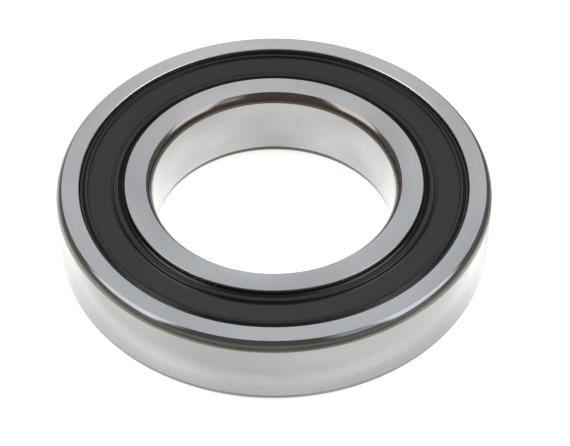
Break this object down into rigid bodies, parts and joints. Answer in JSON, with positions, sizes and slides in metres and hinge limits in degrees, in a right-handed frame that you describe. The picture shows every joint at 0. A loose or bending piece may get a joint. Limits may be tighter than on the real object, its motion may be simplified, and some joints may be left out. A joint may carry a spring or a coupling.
{
  "type": "ball bearing",
  "caption": "Sealed deep-groove ball bearing: ground steel rings, caged balls, and a grooved rubber seal in each side.",
  "frame": {"origin": "centre of the bearing, halfway between the ring faces", "axes": "+Z along the axis of rotation, out of the upper face; the part is symmetric, so +X only passes through the first ball"},
  "size_m": [0.125, 0.125, 0.024],
  "materials": {
    "ring_steel": "ground",
    "ball_steel": "polished",
    "cage_steel": "pressed sheet",
    "rivet_steel": "headed wire",
    "seal_rubber": "satin moulded",
    "insert_steel": "cold rolled sheet"
  },
  "bodies": {
    "outer_ring": {"outer_ring": "ring_steel", "seal_upper_rubber": "seal_rubber", "seal_upper_insert": "insert_steel", "seal_lower_rubber": "seal_rubber", "seal_lower_insert": "insert_steel"},
    "inner_ring": {"inner_ring": "ring_steel"},
    "cage": {"cage_upper": "cage_steel", "cage_lower": "cage_steel", "cage_rivets": "rivet_steel"},
    "ball_01": {"ball_01": "ball_steel"},
    "ball_02": {"ball_02": "ball_steel"},
    "ball_03": {"ball_03": "ball_steel"},
    "ball_04": {"ball_04": "ball_steel"},
    "ball_05": {"ball_05": "ball_steel"},
    "ball_06": {"ball_06": "ball_steel"},
    "ball_07": {"ball_07": "ball_steel"},
    "ball_08": {"ball_08": "ball_steel"},
    "ball_09": {"ball_09": "ball_steel"},
    "ball_10": {"ball_10": "ball_steel"},
    "ball_11": {"ball_11": "ball_steel"}
  },
  "joints": [
    {"name": "inner_spin", "type": "hinge", "parent": "outer_ring", "child": "inner_ring", "pos_m": [0, 0, 0], "axis": [0, 0, 1], "continuous": true},
    {"name": "cage_spin", "type": "hinge", "parent": "outer_ring", "child": "cage", "pos_m": [0, 0, 0], "axis": [0, 0, 1], "continuous": true},
    {"name": "ball_01_spin", "type": "hinge", "parent": "cage", "child": "ball_01", "pos_m": [0.04875, 0, 0], "axis": [0, 0, 1], "continuous": true},
    {"name": "ball_02_spin", "type": "hinge", "parent": "cage", "child": "ball_02", "pos_m": [0.04101, 0.02636, 0], "axis": [0, 0, 1], "continuous": true},
    {"name": "ball_03_spin", "type": "hinge", "parent": "cage", "child": "ball_03", "pos_m": [0.02025, 0.04434, 0], "axis": [0, 0, 1], "continuous": true},
    {"name": "ball_04_spin", "type": "hinge", "parent": "cage", "child": "ball_04", "pos_m": [-0.00694, 0.04825, 0], "axis": [0, 0, 1], "continuous": true},
    {"name": "ball_05_spin", "type": "hinge", "parent": "cage", "child": "ball_05", "pos_m": [-0.03192, 0.03684, 0], "axis": [0, 0, 1], "continuous": true},
    {"name": "ball_06_spin", "type": "hinge", "parent": "cage", "child": "ball_06", "pos_m": [-0.04678, 0.01373, 0], "axis": [0, 0, 1], "continuous": true},
    {"name": "ball_07_spin", "type": "hinge", "parent": "cage", "child": "ball_07", "pos_m": [-0.04678, -0.01373, 0], "axis": [0, 0, 1], "continuous": true},
    {"name": "ball_08_spin", "type": "hinge", "parent": "cage", "child": "ball_08", "pos_m": [-0.03192, -0.03684, 0], "axis": [0, 0, 1], "continuous": true},
    {"name": "ball_09_spin", "type": "hinge", "parent": "cage", "child": "ball_09", "pos_m": [-0.00694, -0.04825, 0], "axis": [0, 0, 1], "continuous": true},
    {"name": "ball_10_spin", "type": "hinge", "parent": "cage", "child": "ball_10", "pos_m": [0.02025, -0.04434, 0], "axis": [0, 0, 1], "continuous": true},
    {"name": "ball_11_spin", "type": "hinge", "parent": "cage", "child": "ball_11", "pos_m": [0.04101, -0.02636, 0], "axis": [0, 0, 1], "continuous": true}
  ],
  "couplings": [
    {"joint": "cage_spin", "follows": "inner_spin", "ratio": 0.41045},
    {"joint": "ball_01_spin", "follows": "inner_spin", "ratio": -2.7022},
    {"joint": "ball_02_spin", "follows": "inner_spin", "ratio": -2.7022},
    {"joint": "ball_03_spin", "follows": "inner_spin", "ratio": -2.7022},
    {"joint": "ball_04_spin", "follows": "inner_spin", "ratio": -2.7022},
    {"joint": "ball_05_spin", "follows": "inner_spin", "ratio": -2.7022},
    {"joint": "ball_06_spin", "follows": "inner_spin", "ratio": -2.7022},
    {"joint": "ball_07_spin", "follows": "inner_spin", "ratio": -2.7022},
    {"joint": "ball_08_spin", "follows": "inner_spin", "ratio": -2.7022},
    {"joint": "ball_09_spin", "follows": "inner_spin", "ratio": -2.7022},
    {"joint": "ball_10_spin", "follows": "inner_spin", "ratio": -2.7022},
    {"joint": "ball_11_spin", "follows": "inner_spin", "ratio": -2.7022}
  ]
}
